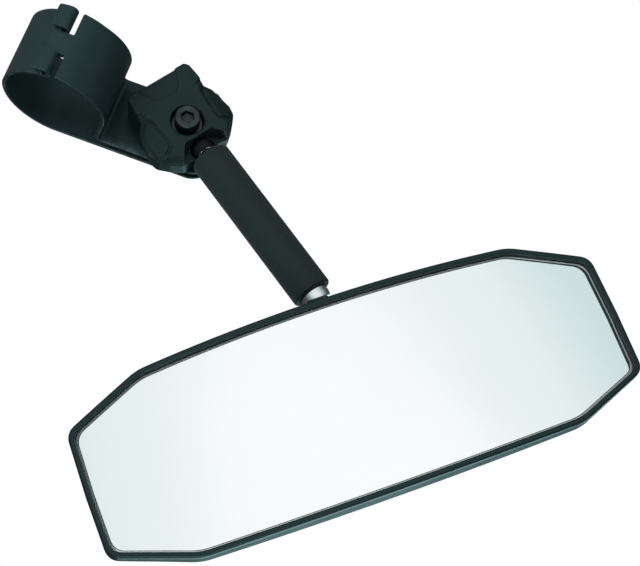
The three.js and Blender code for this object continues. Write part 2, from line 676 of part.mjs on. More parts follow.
const upperBallAt = new THREE.Vector3(0, BALL_Y, -BALL_DROP)
  .applyAxisAngle(new THREE.Vector3(0, 1, 0), BLOCK_TURN)
  .add(blockGroup.position);
const armRun = LOWER_BALL_AT.clone().sub(upperBallAt);
const armLength = armRun.length();
const down = new THREE.Vector3(0, 0, -1);
const armGroup = new THREE.Group();
armGroup.position.copy(upperBallAt);
armGroup.quaternion.setFromUnitVectors(down, armRun.clone().normalize());
const lowerLiner = liner('lower_liner', LOWER_BALL, 62, false);
lowerLiner.position.z = -armLength;
armGroup.add(
  liner('upper_liner', UPPER_BALL, 64, false), upperBallStud(), tubePlug(), armTube(armLength),
  armSleeve(armLength), seatSpring(armLength), lowerSeat(armLength), lowerLiner,
);
mirror.add(armGroup);

const headUp = HEAD_FACING.clone().cross(HEAD_LONG).normalize();
const headOut = HEAD_LONG.clone().normalize().cross(headUp).normalize();
const headLong = headUp.clone().cross(headOut);
const headGroup = new THREE.Group();
headGroup.quaternion.setFromRotationMatrix(new THREE.Matrix4().makeBasis(headLong, headUp, headOut));
headGroup.position.copy(LOWER_BALL_AT)
  .addScaledVector(headUp, -NECK_UP)
  .addScaledVector(headOut, -NECK_BACK);
headGroup.add(bezel(), mirrorGlass(), glassBacking(), housing(), bracket());
for (let i = 0; i < 4; i += 1) {
  headGroup.add(bracketScrew(i));
}
const studGroup = new THREE.Group();
studGroup.position.set(0, NECK_UP, NECK_BACK);
studGroup.rotation.x = -Math.PI / 2;
studGroup.add(lowerBallStud(), jamNut());
headGroup.add(studGroup);
mirror.add(headGroup);

export default mirror;
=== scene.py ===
import math

import bmesh
import bpy
from mathutils import Matrix, Quaternion, Vector


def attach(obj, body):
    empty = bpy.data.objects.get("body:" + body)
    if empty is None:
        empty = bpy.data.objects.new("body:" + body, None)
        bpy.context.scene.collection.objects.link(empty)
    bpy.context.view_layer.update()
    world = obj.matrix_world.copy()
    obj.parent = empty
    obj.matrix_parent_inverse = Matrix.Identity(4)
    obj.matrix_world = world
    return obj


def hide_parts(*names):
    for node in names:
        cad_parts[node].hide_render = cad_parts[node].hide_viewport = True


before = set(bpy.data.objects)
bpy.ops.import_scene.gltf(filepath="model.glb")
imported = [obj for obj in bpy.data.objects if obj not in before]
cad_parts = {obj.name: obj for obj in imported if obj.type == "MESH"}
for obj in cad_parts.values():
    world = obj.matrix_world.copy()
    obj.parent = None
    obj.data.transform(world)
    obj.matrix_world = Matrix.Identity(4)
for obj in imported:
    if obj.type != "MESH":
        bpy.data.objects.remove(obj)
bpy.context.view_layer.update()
scene = bpy.context.scene
MM = 0.001

# ---- driving sizes, in millimetres ----
# straps
STRAP_THICK = 1.72
STRAP_EDGE = 0.35
BAND_HALF = 19.2
BAND_RADIUS = 26.6
REAR_TAIL_Y = 30.6
FRONT_TAIL_Y = 24.5
TAIL_END = -83.5
TAIL_CORNER = 12.0
PINCH_RADIUS = 3.0
PINCH_Z = -25.6
STRAP_HOLE = 4.5
SLOT_TOP = 4.7
SLOT_BOTTOM = 10.6
CURL_RADIUS = 2.8
CURL_ALONG = 4.0
HOOK_RADIUS = BAND_RADIUS + CURL_RADIUS
HOOK_ANGLE = CURL_ALONG / HOOK_RADIUS
CURL_LIP = 6.0
FINGER_INNER = 6.4
NOTCH_INNER = 6.0
NOTCH_LOW = -2.2
NOTCH_HIGH = 4.5
TONGUE_REACH = 5.2
TEE_END = 8.4
TEE_LIFT = 2.1
TEE_FLARE = 0.5
JOGGLE_START = math.radians(-35)

# clamp bolt, its washers and its nut, with places along the bolt
BOLT_Z = -65.0
BOLT_RADIUS = 4.0
BOLT_END = 50.0
BOLT_BORE = 4.3
SCREW_HEAD = 6.5
SCREW_HEAD_TOP = 0.9
SCREW_HEAD_SEAT = 8.9
KEY_HALF = 3.0
HEX_CORNER = 1.13
THREAD_START = 36.5
THREAD_STEP = 0.6
THREAD_DEPTH = 0.32
WASHER_RADIUS = 8.0
HEAD_WASHER_Y = (9.0, 10.3)
NUT_WASHER_Y = (31.8, 33.4)
NUT_Y = 33.7
NUT_FLAT = 6.5
NUT_CORNER = 7.4

# clamp block, in its own turned frame: -Z points along the block towards the arm
BLOCK_TURN = math.radians(34.5)
BLOCK_FRONT = 5.0
BLOCK_BACK = 23.3
BALL_Y = 13.2
BALL_DROP = 15.0
BLOCK_TOP = 28.0
BLOCK_TOP_HALF = 19.0
WING_HALF = 25.0
NOSE_DROP = 19.0
WING_FOLD = 15.5
WING_EDGE_Y = 11.0
HALVES_GAP = 0.3
GROOVE_DEPTH = 1.5
COUNTERBORE_RADIUS = 8.5
COUNTERBORE_DEPTH = 5.5

# arm, along -Z from the upper ball
UPPER_BALL = 5.0
LOWER_BALL = 5.1
BALL_NECK = 2.4
SHANK = 3.0
LINER_THICK = 0.7
TUBE_OUTER = 7.4
TUBE_INNER = 6.2
TUBE_START = -9.6
SLEEVE_OUTER = 10.4
SLEEVE_INNER = 7.7
SLEEVE_SHOULDER = 3.2
SLEEVE_END_GAP = 2.4

# mirror head
LOWER_BALL_AT = Vector((-65.5, 9.1, -157.8))
HEAD_LONG = Vector((0.638, -0.037, -0.769))
HEAD_FACING = Vector((0.019, -0.998, 0.063))
HALF_LENGTH = 136.3
HALF_HEIGHT = 48.0
EDGE_BOW = 2.5
CORNER_RUN = 40.0
CORNER_RISE = 16.2
FACE_RADIUS = 640.0
BACK_RADIUS = 1140.0
RIM_DEPTH = 15.5
BEZEL_DEPTH = 4.8
BEZEL_LIP = 2.7
BEZEL_WALL = 2.1
SEAM = 0.3
BACK_WALL = 1.6
BACK_CORNER = 2.2
GLASS_DROP = 4.0
GLASS_THICK = 2.0
GLASS_INSET = 2.5
GRIND_RUN = 1.5
NECK_UP = 59.4
NECK_BACK = -21.0

# bracket behind the head
BRACKET_HALF = 24.0
BRACKET_LOW = 6.0
BRACKET_TOP = 44.0
BRACKET_THICK = 2.2
BRACKET_FACE = -RIM_DEPTH - 1.2
BOSS_TOP = 46.0
SCREW_X = 19.0
SCREW_YS = (12.0, 38.0)
SCREW_SHANK = 1.6
SCREW_END = -10.4

# studio, in metres
FLOOR_AT = (-0.06, 0.0, -0.62)
EYE_AT = Vector((-0.3508, -0.7307, -0.1743))
LOOK_AT = Vector((-0.06108, 0.0, -0.15755))
EYE_ROLL = math.radians(-70)


# ---- shader maths ----
class Val:
    """One output of a node; arithmetic on it adds Math nodes."""

    def __init__(self, nodes, socket):
        self.nodes = nodes
        self.socket = socket

    def maths(self, operation, *values):
        return self.nodes.node("ShaderNodeMath", {"operation": operation}, dict(enumerate(values)))

    def __add__(self, other):
        return self.maths("ADD", self, other)

    def __sub__(self, other):
        return self.maths("SUBTRACT", self, other)

    def __rsub__(self, other):
        return self.maths("SUBTRACT", other, self)

    def __mul__(self, other):
        return self.maths("MULTIPLY", self, other)

    __radd__ = __add__
    __rmul__ = __mul__


class Nodes:
    """The nodes of a material or of the world."""

    def __init__(self, owner):
        owner.use_nodes = True
        self.tree = owner.node_tree
        self.tree.nodes.clear()

    def node(self, kind, settings=None, sockets=None, out=0):
        """Adds a node, sets its settings first and then its sockets, and gives back one of its outputs."""
        made = self.tree.nodes.new(kind)
        for key, value in (settings or {}).items():
            if key == "stops":
                self.set_stops(made.color_ramp, value)
            elif key == "interpolation":
                made.color_ramp.interpolation = value
            else:
                setattr(made, key, value)
        for key, value in (sockets or {}).items():
            self.feed(made.inputs[key], value)
        return Val(self, made.outputs[out]) if len(made.outputs) else None

    def feed(self, socket, value):
        if isinstance(value, Val):
            self.tree.links.new(value.socket, socket)
        else:
            socket.default_value = value

    @staticmethod
    def set_stops(ramp, stops):
        while len(ramp.elements) < len(stops):
            ramp.elements.new(0.5)
        for element, (position, shade) in zip(ramp.elements, stops):
            element.position = position
            element.color = shade if isinstance(shade, tuple) else colour(shade, shade, shade)

    def ramp(self, value, stops, interpolation="LINEAR"):
        """Gradient over a value; a stop's shade is a grey number or a colour."""
        settings = {"interpolation": interpolation, "stops": stops}
        return self.node("ShaderNodeValToRGB", settings, {"Fac": value})

    def mix(self, factor, low, high):
        """Blend of two colours."""
        return self.node("ShaderNodeMix", {"data_type": "RGBA"}, {0: factor, 6: low, 7: high}, out=2)


class Finish(Nodes):
    """A material with one shader that its patterns feed."""

    def __init__(self, name):
        self.material = bpy.data.materials.new(name)
        super().__init__(self.material)
        self.place = self.node("ShaderNodeTexCoord", out="Object")

    def noise(self, size_mm, detail=3.0, rough=0.5, stretch=None):
        """Cloudy pattern from 0 to 1 whose lumps are about size_mm across."""
        where = self.place
        if stretch:
            where = self.node("ShaderNodeMapping", None, {"Vector": where, "Scale": stretch})
        return self.node("ShaderNodeTexNoise", None, {
            "Vector": where, "Scale": 1000.0 / size_mm, "Detail": detail, "Roughness": rough}, out="Fac")

    def edges(self, low, high):
        """1 on worn outside edges, 0 on open faces."""
        point = self.node("ShaderNodeNewGeometry", out="Pointiness")
        return self.ramp(point, [(low, 0.0), (high, 1.0)])

    def bump(self, height, depth_mm, strength=1.0):
        return self.node("ShaderNodeBump", None, {
            "Height": height, "Distance": depth_mm * MM, "Strength": strength})

    def shader(self, **sockets):
        names = {key.replace("_", " "): value for key, value in sockets.items()}
        made = self.node("ShaderNodeBsdfPrincipled", None, names)
        self.node("ShaderNodeOutputMaterial", None, {"Surface": made})
        return self.material


def colour(red, green, blue):
    return (red, green, blue, 1.0)


COAT_GLOSS_TINT = colour(0.58, 1.0, 0.98)


def black_finish(name, tone, worn, rough, spread, grain_mm, grain_depth, mottle_mm=9.0, gloss=0.42):
    """Black coat or moulding: fine grain, cloudy tone, smoother and paler on rubbed edges."""
    coat = Finish(name)
    mottle = coat.noise(mottle_mm, 4.0)
    grain = coat.noise(grain_mm, 2.0, 0.6)
    rubbed = coat.edges(0.52, 0.6) * coat.ramp(coat.noise(3.0, 5.0), [(0.42, 0.15), (0.62, 1.0)])
    deep = colour(*[c * 0.8 for c in tone])
    lit = colour(*[c * 1.25 for c in tone])
    base = coat.mix(mottle, deep, lit)
    shade = coat.mix(rubbed * 0.75, base, colour(*worn))
    roughness = rough + spread * (mottle - 0.5) - 0.08 * rubbed
    return coat.shader(Base_Color=shade, Roughness=roughness, Specular_IOR_Level=gloss,
                       Specular_Tint=COAT_GLOSS_TINT,
                       Normal=coat.bump(grain, grain_depth))


def metal_finish(name, tone, dull, rough, spread, brush=None, grain_mm=0.5, grain_depth=0.006):
    """Bare or plated metal with faint brushing, smudges and duller patches."""
    metal = Finish(name)
    smudge = metal.noise(5.0, 4.0)
    grain = metal.noise(grain_mm, 3.0, 0.6, stretch=brush)
    base = metal.mix(metal.ramp(smudge, [(0.35, 0.0), (0.75, 1.0)]), colour(*tone), colour(*dull))
    roughness = rough + spread * (smudge - 0.4) + 0.25 * spread * (grain - 0.5)
    return metal.shader(Base_Color=base, Metallic=1.0, Roughness=roughness,
                        Normal=metal.bump(grain, grain_depth))


def rubber_finish():
    rubber = Finish("sleeve rubber")
    mottle = rubber.noise(14.0, 5.0)
    grain = rubber.noise(0.35, 2.0, 0.7)
    dust = rubber.noise(1.1, 6.0, 0.65)
    base = rubber.mix(mottle, colour(0.0055, 0.0125, 0.013), colour(0.009, 0.0175, 0.018))
    shade = rubber.mix(rubber.ramp(dust, [(0.55, 0.0), (0.8, 0.35)]), base, colour(0.03, 0.042, 0.042))
    roughness = 0.66 + 0.14 * (mottle - 0.5) + 0.06 * dust
    return rubber.shader(Base_Color=shade, Roughness=roughness, Specular_IOR_Level=0.3,
                         Sheen_Weight=0.06, Sheen_Roughness=0.5,
                         Normal=rubber.bump(grain, 0.02))


def glass_finish():
    """Silvered glass: almost clear of marks, with a faint film that softens it in places."""
    glass = Finish("silvered glass")
    film = glass.ramp(glass.noise(60.0, 3.0), [(0.4, 0.0), (0.8, 1.0)])
    base = glass.mix(film * 0.5, colour(0.94, 0.965, 0.965), colour(0.915, 0.945, 0.948))
    roughness = 0.035 + 0.03 * film
    return glass.shader(Base_Color=base, Metallic=1.0, Roughness=roughness)


def ground_finish():
    """The glass's ground edge: pale, translucent-looking and matt."""
    ground = Finish("ground glass edge")
    frost = ground.noise(0.4, 4.0, 0.7)
    base = ground.mix(frost, colour(0.7, 0.77, 0.77), colour(0.78, 0.84, 0.84))
    roughness = 0.45 + 0.1 * frost
    return ground.shader(Base_Color=base, Roughness=roughness, Normal=ground.bump(frost, 0.002))


def nylon_finish(name, low, high):
    nylon = Finish(name)
    mottle = nylon.noise(4.0, 4.0)
    base = nylon.mix(mottle, colour(*low), colour(*high))
    roughness = 0.5 + 0.15 * (mottle - 0.5)
    return nylon.shader(Base_Color=base, Roughness=roughness, Specular_IOR_Level=0.15,
                        Normal=nylon.bump(nylon.noise(0.6), 0.01))


STRAP_COAT = black_finish("strap powder coat", (0.013, 0.023, 0.0255), (0.09, 0.13, 0.13), 0.34, 0.14,
                          grain_mm=0.55, grain_depth=0.012, gloss=0.3)
BLOCK_MOULD = black_finish("block moulding", (0.0095, 0.017, 0.0165), (0.06, 0.085, 0.085), 0.42, 0.14,
                           grain_mm=0.4, grain_depth=0.012, gloss=0.2)
HEAD_MOULD = black_finish("housing moulding", (0.009, 0.018, 0.019), (0.05, 0.07, 0.07), 0.5, 0.14,
                          grain_mm=0.6, grain_depth=0.02, mottle_mm=16.0)
BEZEL_MOULD = black_finish("bezel moulding", (0.004, 0.008, 0.0085), (0.05, 0.07, 0.07), 0.38, 0.12,
                           grain_mm=0.5, grain_depth=0.008, mottle_mm=16.0)
BRACKET_COAT = black_finish("bracket coat", (0.01, 0.017, 0.018), (0.07, 0.08, 0.08), 0.45, 0.16,
                            grain_mm=0.5, grain_depth=0.014)
FOAM = black_finish("pad foam", (0.02, 0.02, 0.02), (0.05, 0.05, 0.05), 0.9, 0.1,
                    grain_mm=0.8, grain_depth=0.08)
BOLT_STEEL = metal_finish("bolt steel", (0.06, 0.075, 0.075), (0.03, 0.038, 0.038), 0.38, 0.2,
                          brush=(1, 1, 0.2), grain_mm=0.4, grain_depth=0.008)
ZINC = metal_finish("zinc plate", (0.6, 0.6, 0.58), (0.42, 0.42, 0.4), 0.3, 0.2)
CHROME = metal_finish("bright chrome", (0.82, 0.84, 0.84), (0.7, 0.73, 0.73), 0.1, 0.12,
                      grain_mm=2.0, grain_depth=0.002)
RUBBER = rubber_finish()
GLASS = glass_finish()
GROUND = ground_finish()
ACETAL = nylon_finish("black acetal", (0.003, 0.004, 0.004), (0.007, 0.008, 0.008))
NYLON_BLUE = nylon_finish("blue nylon", (0.06, 0.14, 0.34), (0.1, 0.21, 0.46))


# ---- mesh helpers, all in millimetres ----
MERGE = 1e-4
BLUNT_HALF = math.radians(40)


def rounded(points, radius, steps=5, closed=True):
    """The same outline with its corners turned into arcs; radius is one number or one for each point."""
    count = len(points)
    radii = radius if isinstance(radius, (list, tuple)) else [radius] * count
    made = []
    for i, at in enumerate(points):
        corner = Vector(at)
        if radii[i] <= 0 or (not closed and i in (0, count - 1)):
            made.append(corner)
            continue
        before = Vector(points[i - 1]) - corner
        after = Vector(points[(i + 1) % count]) - corner
        half = before.angle(after) / 2
        reach = min(radii[i] / math.tan(half), before.length * 0.49, after.length * 0.49)
        start = corner + before.normalized() * reach
        end = corner + after.normalized() * reach
        for k in range(steps + 1):
            t = k / steps
            weight = math.sqrt(2) if half > BLUNT_HALF else 1.0
            middle = corner * (2 * t * (1 - t) / weight)
            total = (1 - t) ** 2 + t ** 2 + 2 * t * (1 - t) / weight
            made.append((start * (1 - t) ** 2 + end * t ** 2 + middle) / total)
    return made


def arc(radius, z, start, end, steps):
    """Points of an arc in a turning profile, angles in degrees from +Z."""
    made = []
    for i in range(steps + 1):
        a = math.radians(start + (end - start) * i / steps)
        made.append((max(0.0, radius * math.sin(a)), z + radius * math.cos(a)))
    return made


def new_mesh(name, verts, faces):
    mesh = bpy.data.meshes.new(name)
    mesh.from_pydata([tuple(v) for v in verts], [], faces)
    return outward(mesh)


def outward(mesh, merge=MERGE):
    """Joins vertices that lie together and turns every face outwards."""
    work = bmesh.new()
    work.from_mesh(mesh)
    bmesh.ops.remove_doubles(work, verts=work.verts, dist=merge)
    bmesh.ops.recalc_face_normals(work, faces=work.faces)
    work.to_mesh(mesh)
    work.free()
    return mesh


def turned(name, profile, steps=96, closed=False, knurl=None):
    """Turned piece about Z. A station is (radius, z) or, for a hexagon, (half across flats, z, corner cap).

    A knurl is (depth, from z, to z)."""
    verts, faces, rings = [], [], []
    for station in profile:
        radius, z = station[0], station[1]
        cap = station[2] if len(station) > 2 else None
        if radius < 1e-6:
            rings.append([len(verts)])
            verts.append((0, 0, z))
            continue
        ring = []
        for k in range(steps):
            a = 2 * math.pi * k / steps
            r = radius
            if cap:
                r = min(radius / math.cos((a + math.pi / 6) % (math.pi / 3) - math.pi / 6), cap)
            if knurl and knurl[1] < z < knurl[2]:
                r -= knurl[0] * (0.5 + 0.5 * math.cos(a * steps / 4))
            ring.append(len(verts))
            verts.append((r * math.cos(a), r * math.sin(a), z))
        rings.append(ring)
    pairs = list(zip(rings, rings[1:]))
    if closed:
        pairs.append((rings[-1], rings[0]))
    for low, high in pairs:
        for k in range(steps):
            n = k + 1
            quad = [low[k % len(low)], low[n % len(low)], high[n % len(high)], high[k % len(high)]]
            quad = list(dict.fromkeys(quad))
            if len(quad) > 2:
                faces.append(quad)
    return new_mesh(name, verts, faces)


def plate(name, outline, holes, thick, edge):
    """Flat sheet in X and Y, thick along Z, with small rounded edges round its outline and holes."""
    sheet = bpy.data.curves.new(name, "CURVE")
    sheet.dimensions = "2D"
    sheet.fill_mode = "BOTH"
    sheet.extrude = thick / 2 - edge
    sheet.bevel_depth = edge
    sheet.bevel_resolution = 2
    sheet.offset = -edge
    for loop in [outline, *holes]:
        spline = sheet.splines.new("POLY")
        spline.points.add(len(loop) - 1)
        for point, at in zip(spline.points, loop):
            point.co = (at[0], at[1], 0, 1)
        spline.use_cyclic_u = True
    obj = bpy.data.objects.new(name, sheet)
    scene.collection.objects.link(obj)
    mesh = solid_of(obj)
    bpy.data.curves.remove(sheet)
    return outward(mesh, 1e-3)


def solid_of(obj):
    """The object's finished mesh, modifiers included; the object itself is removed."""
    bpy.context.view_layer.update()
    seen = obj.evaluated_get(bpy.context.evaluated_depsgraph_get())
    mesh = bpy.data.meshes.new_from_object(seen)
    bpy.data.objects.remove(obj)
    return mesh


def sliced(mesh, axis, places):
    """Adds edge rows across the mesh at the given places along an axis, so that it can bend."""
    work = bmesh.new()
    work.from_mesh(mesh)
    normal = Vector((0, 0, 0))
    normal[axis] = 1
    for place in places:
        everything = work.verts[:] + work.edges[:] + work.faces[:]
        bmesh.ops.bisect_plane(work, geom=everything, plane_co=normal * place, plane_no=normal, dist=MERGE)
    work.to_mesh(mesh)
    work.free()
    return mesh


def prism(name, outline, y0, y1, front=None):
    """Block with its outline drawn in X and Z, from y0 to y1; front is the outline at y0 if it differs."""
    count = len(outline)
    front = front or outline
    verts = [(x, y0, z) for x, z in front] + [(x, y1, z) for x, z in outline]
    faces = [list(range(count)), list(range(2 * count - 1, count - 1, -1))]
    for i in range(count):
        j = (i + 1) % count
        faces.append([i, j, j + count, i + count])
    return new_mesh(name, verts, faces)


def circle(radius, x=0.0, y=0.0, steps=48, start=0.0, end=360.0):
    """Points of a circle, or of an arc of it with both its ends."""
    angles = [math.radians(start + (end - start) * k / steps) for k in range(steps + (end - start < 360))]
    return [(x + radius * math.cos(a), y + radius * math.sin(a)) for a in angles]


def carved(name, mesh, cutters, added=(), voxel=0.4, soften=4):
    """Cuts and adds solids, then turns every edge of the result into a small moulded radius."""
    body = bpy.data.objects.new(name, mesh)
    scene.collection.objects.link(body)
    tools = []
    for kind, solids in (("DIFFERENCE", cutters), ("UNION", added)):
        for solid in solids:
            tool = bpy.data.objects.new(name + "_tool", solid)
            scene.collection.objects.link(tool)
            tools.append(tool)
            cut = body.modifiers.new("cut", "BOOLEAN")
            cut.operation = kind
            cut.solver = "EXACT"
            cut.object = tool
    if voxel:
        even = body.modifiers.new("even", "REMESH")
        even.mode = "VOXEL"
        even.voxel_size = voxel
        soft = body.modifiers.new("soft", "SMOOTH")
        soft.factor = 0.5
        soft.iterations = soften
    made = solid_of(body)
    for tool in tools:
        bpy.data.objects.remove(tool)
    return made


def place_of(origin, x_axis, y_axis, z_axis):
    """Matrix of a frame with the given origin and axes."""
    spot = Matrix((x_axis, y_axis, z_axis)).transposed().to_4x4()
    spot.translation = origin
    return spot


def fit(name, mesh, body, stands_for, finish, place=None, sharp=35.0, bevel=0.0):
    """Puts a finished piece where it belongs, on its body, in place of the plain solids it stands for."""
    if place:
        mesh.transform(place)
    mesh.transform(Matrix.Scale(MM, 4))
    several = isinstance(finish, list)
    finish_of_face = [face.material_index if several else 0 for face in mesh.polygons]
    mesh.materials.clear()
    for one in finish if several else [finish]:
        mesh.materials.append(one)
    for face, index in zip(mesh.polygons, finish_of_face):
        face.material_index = index
        face.use_smooth = True
    mesh.set_sharp_from_angle(angle=math.radians(sharp))
    obj = bpy.data.objects.new(name, mesh)
    scene.collection.objects.link(obj)
    if bevel:
        edge = obj.modifiers.new("edge", "BEVEL")
        edge.width = bevel * MM
        edge.segments = 3
        edge.limit_method = "ANGLE"
        edge.angle_limit = math.radians(32)
        edge.harden_normals = True
    even = obj.modifiers.new("even", "WEIGHTED_NORMAL")
    even.keep_sharp = True
    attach(obj, body)
    if stands_for:
        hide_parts(*stands_for)
    return obj


# ---- places of the assembled groups ----
X, Y, Z = Vector((1, 0, 0)), Vector((0, 1, 0)), Vector((0, 0, 1))
BOLT_PLACE = place_of(Vector((0, 0, BOLT_Z)), X, -Z, Y)
BLOCK_PLACE = Matrix.Translation((0, 0, BOLT_Z)) @ Matrix.Rotation(BLOCK_TURN, 4, "Y")
UPPER_BALL_AT = BLOCK_PLACE @ Vector((0, BALL_Y, -BALL_DROP))
ARM_LENGTH = (LOWER_BALL_AT - UPPER_BALL_AT).length
ARM_PLACE = (-Z).rotation_difference(LOWER_BALL_AT - UPPER_BALL_AT).to_matrix().to_4x4()
ARM_PLACE.translation = UPPER_BALL_AT
HEAD_UP = HEAD_FACING.cross(HEAD_LONG).normalized()
HEAD_OUT = HEAD_LONG.normalized().cross(HEAD_UP).normalized()
HEAD_X = HEAD_UP.cross(HEAD_OUT)
HEAD_PLACE = place_of(LOWER_BALL_AT - HEAD_UP * NECK_UP - HEAD_OUT * NECK_BACK, HEAD_X, HEAD_UP, HEAD_OUT)
STUD_PLACE = HEAD_PLACE @ place_of(Vector((0, NECK_UP, NECK_BACK)), X, -Z, Y)


# ---- straps ----
def on_loop(angle, radius):
    return Vector((-radius * math.cos(angle), radius * math.sin(angle)))


def loop_run(start, end, radius_at, steps):
    angles = [start + (end - start) * i / steps for i in range(steps + 1)]
    return [on_loop(angle, radius_at(angle)) for angle in angles]


class BandPath:
    """The middle line of a strap, in Y and Z, from its tail's end to its hook."""

    def __init__(self, points):
        self.points = [points[0]]
        for point in points[1:]:
            if (point - self.points[-1]).length > 1e-4:
                self.points.append(point)
        self.reach = [0.0]
        for a, b in zip(self.points, self.points[1:]):
            self.reach.append(self.reach[-1] + (b - a).length)
        self.normals = []
        for i in range(len(self.points)):
            run = self.points[min(i + 1, len(self.points) - 1)] - self.points[max(i - 1, 0)]
            self.normals.append(Vector((-run.y, run.x)).normalized())

    def at(self, along):
        along = min(max(along, 0.0), self.reach[-1] - 1e-6)
        low, high = 0, len(self.reach) - 1
        while high - low > 1:
            middle = (low + high) // 2
            if self.reach[middle] <= along:
                low = middle
            else:
                high = middle
        t = (along - self.reach[low]) / (self.reach[high] - self.reach[low])
        point = self.points[low].lerp(self.points[high], t)
        normal = self.normals[low].lerp(self.normals[high], t).normalized()
        return point, normal

    def bend(self, mesh, tongue=None):
        """Takes a flat plate, x across and y along it, round the path; a tongue runs on without the curl."""
        for vertex in mesh.vertices:
            across, along, lift = vertex.co
            path = tongue if tongue and abs(across) < FINGER_INNER and along > self.loop_end else self
            point, normal = path.at(along)
            spot = point + normal * lift
            vertex.co = (across, spot.x, spot.y)
        outward(mesh, MERGE / 10)


def rear_path(hooked=True):
    """Rear strap's middle line; the tongue's line runs on round the loop where the hooks curl back."""
    last = HOOK_ANGLE if hooked else HOOK_ANGLE - (TONGUE_REACH + 2) / BAND_RADIUS
    points = [Vector((REAR_TAIL_Y, TAIL_END)), Vector((REAR_TAIL_Y, 0.0))]
    for point in loop_run(math.pi, last, lambda angle: BAND_RADIUS, 150):
        stretch = REAR_TAIL_Y / BAND_RADIUS if point.x > 0 else 1.0
        points.append(Vector((point.x * stretch, point.y)))
    if not hooked:
        return BandPath(points)
    loop_end = len(points) - 1
    centre = on_loop(HOOK_ANGLE, HOOK_RADIUS)
    out = centre.normalized()
    along = Vector((out.y, -out.x))
    steps = 24
    for i in range(1, steps + 1):
        turn = math.pi * i / steps
        points.append(centre - out * CURL_RADIUS * math.cos(turn) - along * CURL_RADIUS * math.sin(turn))
    lip = HOOK_RADIUS + CURL_RADIUS
    points += loop_run(HOOK_ANGLE, HOOK_ANGLE + CURL_LIP / lip, lambda angle: lip, 12)[1:]
    path = BandPath(points)
    path.loop_end = BandPath(points[:loop_end + 1]).reach[-1]
    return path


def front_radius(angle):
    """Front strap's radius: it rises over the rear strap's end, and its T flares a little more."""
    t = min(max(1 - angle / JOGGLE_START, 0.0), 1.0)
    flare = min(max((angle * HOOK_RADIUS - NOTCH_HIGH) / (TEE_END - NOTCH_HIGH), 0.0), 1.0)
    return BAND_RADIUS + t * t * (3 - 2 * t) * TEE_LIFT + flare * TEE_FLARE


def front_path():
    """Front strap's middle line: the tail, the pinch bend and the loop to the T."""
    bend_y = FRONT_TAIL_Y - PINCH_RADIUS
    spread = math.acos((BAND_RADIUS + PINCH_RADIUS) / math.hypot(bend_y, PINCH_Z))
    leaving = math.atan2(PINCH_Z, bend_y) - spread
    points = [Vector((FRONT_TAIL_Y, TAIL_END))]
    steps = 16
    for i in range(steps + 1):
        a = (math.pi + leaving) * i / steps
        points.append(Vector((bend_y + PINCH_RADIUS * math.cos(a), PINCH_Z + PINCH_RADIUS * math.sin(a))))
    points += loop_run(-math.pi - leaving, TEE_END / HOOK_RADIUS, front_radius, 150)
    return BandPath(points)


def steps_between(start, end, pitch):
    """Evenly spaced places between two others, about pitch apart."""
    count = max(1, int((end - start) / pitch))
    return [start + (end - start) * i / count for i in range(1, count)]


def mirrored(points):
    """The same points on the other side of the middle, in the order that carries the outline on."""
    return [(-x, y) for x, y in reversed(points)]


def tail_outline(end_points):
    """Rounded tail corners, then the given points round the other end; y runs up from the tail."""
    half, corner = BAND_HALF, TAIL_CORNER
    left = circle(corner, -half + corner, corner, 14, 180, 270)
    right = circle(corner, half - corner, corner, 14, 270, 360)
    return left + right + end_points


def rear_strap():
    """Two hook fingers, with the straight tongue between them and a slit on each side of it."""
    path = rear_path()
    end = path.reach[-1]
    curl = path.loop_end
    tongue = curl + TONGUE_REACH
    inner, side, root = FINGER_INNER + 0.2, FINGER_INNER - 0.2, curl - 0.3
    half = [(BAND_HALF, 30), (BAND_HALF, end), (inner, end), (inner, root), (side, root), (side, tongue)]
    radii = [0, 1.2, 1.2, 0, 0, 0.8]
    top = rounded(half + mirrored(half), radii + radii[::-1], 4, closed=False)
    bolt = BOLT_Z - TAIL_END
    slot = circle(STRAP_HOLE, 0, bolt + SLOT_TOP - STRAP_HOLE, 20, 0, 180)
    slot += circle(STRAP_HOLE, 0, bolt - SLOT_BOTTOM + STRAP_HOLE, 20, 180, 360)
    mesh = plate("rear_strap_sheet", tail_outline(top), [slot], STRAP_THICK, STRAP_EDGE)
    sliced(mesh, 1, steps_between(-TAIL_END - 1, curl, 1.3) + steps_between(curl - 0.4, end, 0.35))
    sliced(mesh, 0, [-13, 0, 13])
    path.bend(mesh, rear_path(hooked=False))
    fit("rear_strap_band", mesh, "rear_band", ["rear_strap"], STRAP_COAT, sharp=50)


def front_strap():
    """Two edge notches that the hooks fit into, with the T beyond them."""
    path = front_path()
    end = path.reach[-1]
    shorter = 0.98
    low = end - (TEE_END - NOTCH_LOW) * shorter
    high = end - (TEE_END - NOTCH_HIGH) * shorter
    half = [(BAND_HALF, 30), (BAND_HALF, low), (NOTCH_INNER, low), (NOTCH_INNER, high), (BAND_HALF, high),
            (BAND_HALF, end)]
    radii = [0, 1.0, 0.7, 0.7, 0.8, 1.2]
    top = rounded(half + mirrored(half), radii + radii[::-1], 4, closed=False)
    hole = circle(STRAP_HOLE, 0, BOLT_Z - TAIL_END)
    mesh = plate("front_strap_sheet", tail_outline(top), [hole], STRAP_THICK, STRAP_EDGE)
    bend = PINCH_Z - TAIL_END
    sliced(mesh, 1, steps_between(bend - 0.5, bend + 7, 0.4) + steps_between(bend + 7, end, 1.2))
    sliced(mesh, 0, [-13, -6, 0, 6, 13])
    path.bend(mesh)
    fit("front_strap_band", mesh, "clamp", ["front_strap"], STRAP_COAT, sharp=50)


